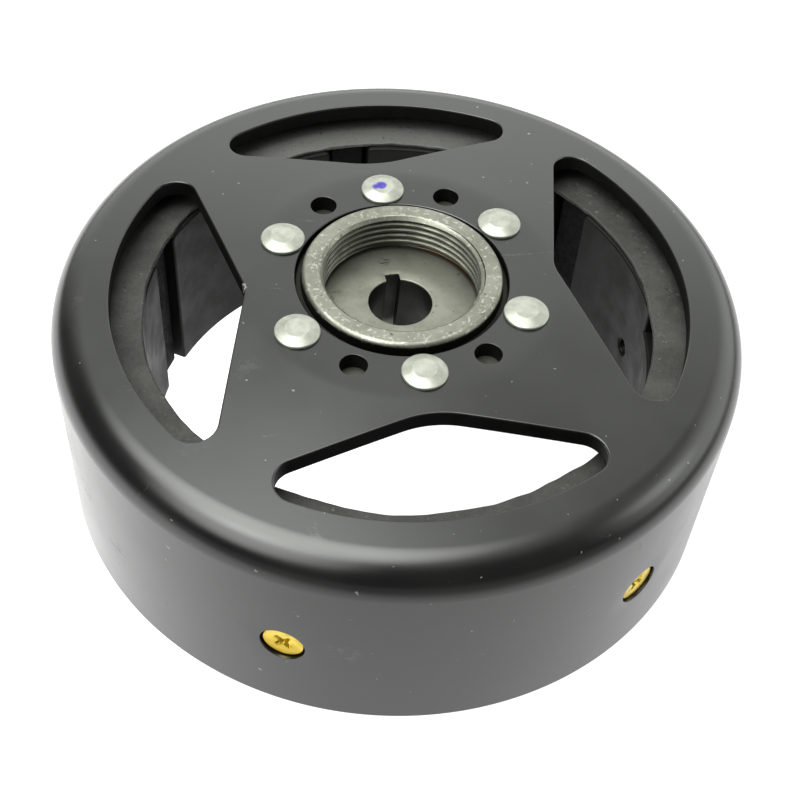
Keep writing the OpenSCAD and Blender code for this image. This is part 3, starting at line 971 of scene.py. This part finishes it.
def build_poles(steel, ferrite):
    for k in range(POLES):
        centre = POLE_TURN + TAU * k / POLES
        outline = sector_outline(POLE_R, POLE_SPAN, POLE_BOTTOM, POLE_TOP, 0.9, k == 0)
        shoe = curved_plate(POLE_R, MAGNET_R, centre, outline,
                            [tapped_rows(POLE_R, MAGNET_R)], 0.5, 0.3)
        shoe.build(f"pole_{k + 1}", steel, "pole_steel", f"pole_shoe_{k + 1}")
        outline = sector_outline(MAGNET_R, POLE_SPAN, POLE_BOTTOM, POLE_TOP, 0.8)
        hole = [(SCREW_HOLE_R, MAGNET_R, 0.0, 1.0, 0.0), (SCREW_HOLE_R, WALL_R, 0.0, 1.0, 0.0)]
        magnet = curved_plate(MAGNET_R, WALL_R, centre, outline, [hole], 0.4, 0.4)
        magnet.build(f"magnet_block_{k + 1}", ferrite, "magnet_ferrite", f"magnet_{k + 1}")


def build_cage(material, shaded_finger_material):
    """A flat ring with a wavy inner edge, and a rough finger in each pole gap."""
    skin = Skin()
    under = POLE_TOP
    count = 540
    rows = []
    profile = rounded([(RING_R, under, 0.3), (CAGE_R, under, 0.2),
                       (CAGE_R, CAGE_TOP, 0.2), (RING_R, CAGE_TOP, 0.4)], closed=True)
    profile = refined(profile, 1.3)
    for x, z, nx, nz in profile:
        row = []
        for i in range(count):
            a = TAU * i / count
            edge = max(1 - (x - RING_R) / 6, 0.0)
            wave = noise.noise(polar(3.2, a, 4.0)) * 0.6 + noise.noise(polar(14, a, 9.0)) * 0.2
            wave += RING_SHIFT * math.cos(a - RING_SHIFT_TURN)
            top = (z - under) / (CAGE_TOP - under)
            sag = top * 0.22 * (noise.noise(polar(x * 0.35, a)) - 0.5)
            row.append(skin.put(polar(x + edge * wave, a, z + sag), polar(nx, a, nz)))
        rows.append(row)
    skin.rows(rows + rows[:1])

    def rough(angle, height):
        return 0.55 * noise.noise(Vector((angle * 40, height * 0.28, 1.5))) \
            + 0.25 * noise.noise(Vector((angle * 90, height * 0.9, 7.0)))

    fingers = Skin()
    for k in range(POLES):
        centre = POLE_TURN + TAU * (k + 0.5) / POLES
        outline = sector_outline(FINGER_R, GAP_SPAN, POLE_BOTTOM, under, 0.9)
        finger = curved_plate(FINGER_R, CAGE_R - 0.2, centre, outline, [], 0.7, 0.4, rough)
        base = len(fingers.points)
        fingers.points += finger.points
        fingers.normals += finger.normals
        fingers.faces += [[base + i for i in face] for face in finger.faces]
    skin.build("cage_ring", material, "cage_casting", "magnet_cage")
    fingers.build("cage_fingers", shaded_finger_material, "cage_casting", "magnet_cage")


# ---------------------------------------------------------------- pole screws
def cross_outline(span, width):
    """The cross recess seen from outside, walked with the metal on the left."""
    s, w = span / 2, width / 2
    quarter = [(s, w), (s, -w), (w * 1.5, -w * 1.5)]
    corners = []
    for k in range(4):
        a = -TAU * k / 4
        for x, y in quarter:
            corners.append((x * math.cos(a) - y * math.sin(a),
                            x * math.sin(a) + y * math.cos(a), 0.12))
    return rounded(corners, closed=True, steps=4)


def shank_radius(angle, z):
    """Radius of the threaded shank, with its chamfered end."""
    thread = SCREW_R - 0.42 * thread_wave(z / SCREW_PITCH - angle / TAU)
    return min(thread, SCREW_R - 0.5 + max(z + SCREW_LEN, 0.0))


def build_screws(material):
    for k in range(POLES):
        skin = Skin()
        head_low = -HEAD_EDGE - (SCREW_HEAD_R - SCREW_R)
        shank = helix(skin, shank_radius, -SCREW_LEN, head_low - 0.3, 150, 60, 1)
        end = revolve(skin, [(SCREW_R - 0.75, -SCREW_LEN, 0, -1), (0, -SCREW_LEN, 0, -1)], 60, 0.0)
        skin.rows([shank[0]] + end)
        head = rounded([(SCREW_R, head_low, 0), (SCREW_HEAD_R, -HEAD_EDGE, 0.08),
                        (SCREW_HEAD_R, 0, 0.1), (SCREW_HEAD_R - 0.4, 0, 0)])
        head_rows = revolve(skin, head, 60, 0.0)
        skin.strip(shank[-1], head_rows[0])
        rings = []
        for depth, inset, width, out, up in ((0.0, 0.0, 1.05, 0.1, 1.0),
                                             (0.1, 0.2, 0.9, 0.7, 0.7),
                                             (1.0, 1.0, 0.8, 0.95, 0.3),
                                             (1.8, 2.0, 0.7, 0.7, 0.7)):
            rings.append([((x, y), skin.put((x, y, -depth), (nx * out, ny * out, up)))
                          for x, y, nx, ny in cross_outline(CROSS_SPAN - inset, width)])
        skin.rows([[v for _, v in ring] for ring in rings])
        skin.fill([plan_loop(skin, head_rows[-1]), rings[0]])
        skin.fill([rings[-1]])
        angle = POLE_TURN + TAU * k / POLES
        turn = Matrix.Rotation(angle, 4, "Z") \
            @ Matrix.Translation((SCREW_HEAD_X, 0, SCREW_Z)) \
            @ Matrix.Rotation(TAU / 4, 4, "Y") @ Matrix.Rotation(0.3 + 1.7 * k, 4, "Z")
        skin.build(f"screw_{k + 1}", material, "screw_zinc", f"pole_screw_{k + 1}", turn=turn)


# ---------------------------------------------------------------- stage
VIEW_TURN = math.radians(-12.4)  # the camera's turn round the crank axis
BEHIND = TAU / 4 + VIEW_TURN     # direction of the far side as the camera sees it


def build_floor():
    """A pale glowing table, so that no shadow falls round the part."""
    mesh = bpy.data.meshes.new("floor")
    size, count = 4.0, 96
    mesh.from_pydata([polar(size, TAU * k / count) for k in range(count)], [],
                     [list(range(count))])
    p = Paint("glowing_table", Specular_IOR_Level=0.0, Emission_Color=(1, 1, 1, 1))
    tint = p.blend(p.noise(3, 2), (0.11, 0.11, 0.11), (0.13, 0.13, 0.13))
    # The glow is a painted pool of light: full within about 0.2 m of the part, with an extra pool to
    # its left, and dim beyond. It also lights the part.
    table = p.spread(p.near((-11, 129, 0), 360, 0.4), 0, 1, 0.08, 1.02)
    left = p.spread(p.near((-230, 110, 0), 320, 0.5), 0, 1, 0.0, 0.55)
    p.link(p.math("ADD", table, left), p.shader.inputs["Emission Strength"])
    mesh.materials.append(p.finish(tint, p.spread(p.noise(5, 2), 0, 1, 0.7, 0.8),
                                   (p.noise(300, 2), 0.02, 0.05)))
    floor = bpy.data.objects.new("floor", mesh)
    bpy.context.scene.collection.objects.link(floor)


# The room as the camera sees it: each light's turn to the left from straight behind
# the part, its height, its reach, all in degrees, and its brightness.
LIGHTS = {
    "lamp over the left": (90, 75, 35, 8.0),
    "window at the left": (135, 45, 30, 5.0),
    "ceiling": (0, 90, 45, 0.9),
    "back wall": (0, 15, 60, 2.0),
    "right wall": (-75, 15, 45, 2.0),
    "opening at the right": (-90, 30, 15, 2.0),
}
ROOM_GLOW = 0.1
EVEN_CORE = 2                    # degrees of full brightness in the middle of a light


def build_light():
    """Soft lights round the part, and a dark side where the camera stands."""
    world = bpy.data.worlds.new("studio")
    world.use_nodes = True
    tree = world.node_tree
    place = tree.nodes.new("ShaderNodeTexCoord").outputs["Generated"]
    total = None
    for turn, height, reach, level in LIGHTS.values():
        a, e = BEHIND + math.radians(turn), math.radians(height)
        facing = tree.nodes.new("ShaderNodeVectorMath")
        facing.operation = "DOT_PRODUCT"
        tree.links.new(place, facing.inputs[0])
        facing.inputs[1].default_value = polar(math.cos(e), a, math.sin(e))
        glow = tree.nodes.new("ShaderNodeMapRange")
        glow.interpolation_type = "SMOOTHSTEP"
        tree.links.new(facing.outputs["Value"], glow.inputs["Value"])
        glow.inputs["From Min"].default_value = math.cos(math.radians(reach))
        glow.inputs["From Max"].default_value = math.cos(math.radians(EVEN_CORE))
        glow.inputs["To Min"].default_value = 0.0
        glow.inputs["To Max"].default_value = level
        added = tree.nodes.new("ShaderNodeMath")
        added.operation = "ADD"
        tree.links.new(glow.outputs["Result"], added.inputs[0])
        if total:
            tree.links.new(total, added.inputs[1])
        else:
            added.inputs[1].default_value = ROOM_GLOW
        total = added.outputs[0]
    background = tree.nodes["Background"]
    background.inputs["Color"].default_value = (0.975, 1.0, 0.95, 1)
    tree.links.new(total, background.inputs["Strength"])
    bpy.context.scene.world = world


def build_camera():
    """The camera looks down at the hub seat from close by, slightly rolled."""
    elevation, roll = math.radians(44.25), math.radians(-4.45)
    yaw, pitch = math.radians(-0.3), math.radians(-5.1)
    distance = 277.5 * MM
    back = Vector((0, -math.cos(elevation), math.sin(elevation)))
    place = Vector((0, 0, SEAT_Z * MM)) + distance * back
    ahead, right = -back, Vector((1, 0, 0))
    up = right.cross(ahead)
    ahead, right = (Matrix.Rotation(yaw, 3, up) @ v for v in (ahead, right))
    ahead, up = (Matrix.Rotation(pitch, 3, right) @ v for v in (ahead, up))
    right, up = (Matrix.Rotation(roll, 3, ahead) @ v for v in (right, up))
    turn = Matrix.Rotation(VIEW_TURN, 3, "Z")
    pose = Matrix([turn @ right, turn @ up, turn @ -ahead]).transposed().to_4x4()
    pose.translation = turn @ place
    camera = bpy.data.cameras.new("camera")
    camera.sensor_width = 36
    camera.lens = 62.3
    camera.clip_start = 0.01
    eye = bpy.data.objects.new("camera", camera)
    eye.matrix_world = pose
    bpy.context.scene.collection.objects.link(eye)
    bpy.context.scene.camera = eye


build_cup(cup_paint(), shaded_wall_paint())
build_hub(hub_steel())
build_rivets(rivet_steel(False), rivet_steel(True))
build_poles(pole_steel(), magnet_ferrite())
build_cage(cage_casting(False), cage_casting(True))
build_screws(screw_zinc())
build_floor()
build_light()
build_camera()
bpy.context.scene.view_settings.view_transform = "Standard"
